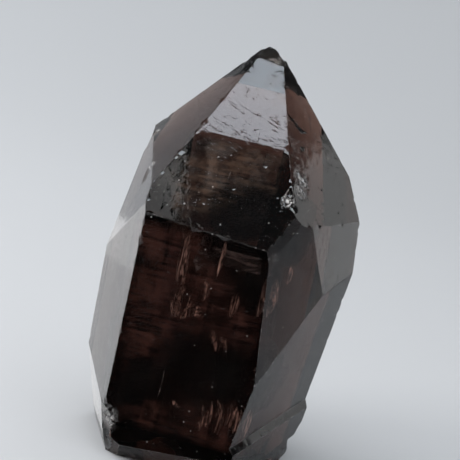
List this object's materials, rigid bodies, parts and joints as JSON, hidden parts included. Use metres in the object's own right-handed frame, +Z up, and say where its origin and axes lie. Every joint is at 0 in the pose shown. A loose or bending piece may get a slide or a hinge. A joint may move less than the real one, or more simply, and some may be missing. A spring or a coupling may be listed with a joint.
{
  "type": "smoky quartz crystal",
  "caption": "Stout single-ended quartz point with uneven flat prism faces, a pyramid top, a blunt chipped tip and a low ledge on one side, standing upright on its broken base.",
  "frame": {"origin": "on the flat it stands on, under the middle of the crystal", "axes": "+Z up along the crystal's main axis, -Y out of the front, +X to the right seen from the front"},
  "size_m": [0.043, 0.0394, 0.0714],
  "materials": {
    "smoky_quartz": "glassy and see-through, smoky brown to near black through its depth, with fine growth lines, small etch pits, worn edges and coppery fractures inside"
  },
  "bodies": {
    "root": {"quartz_crystal": "smoky_quartz"}
  },
  "joints": []
}
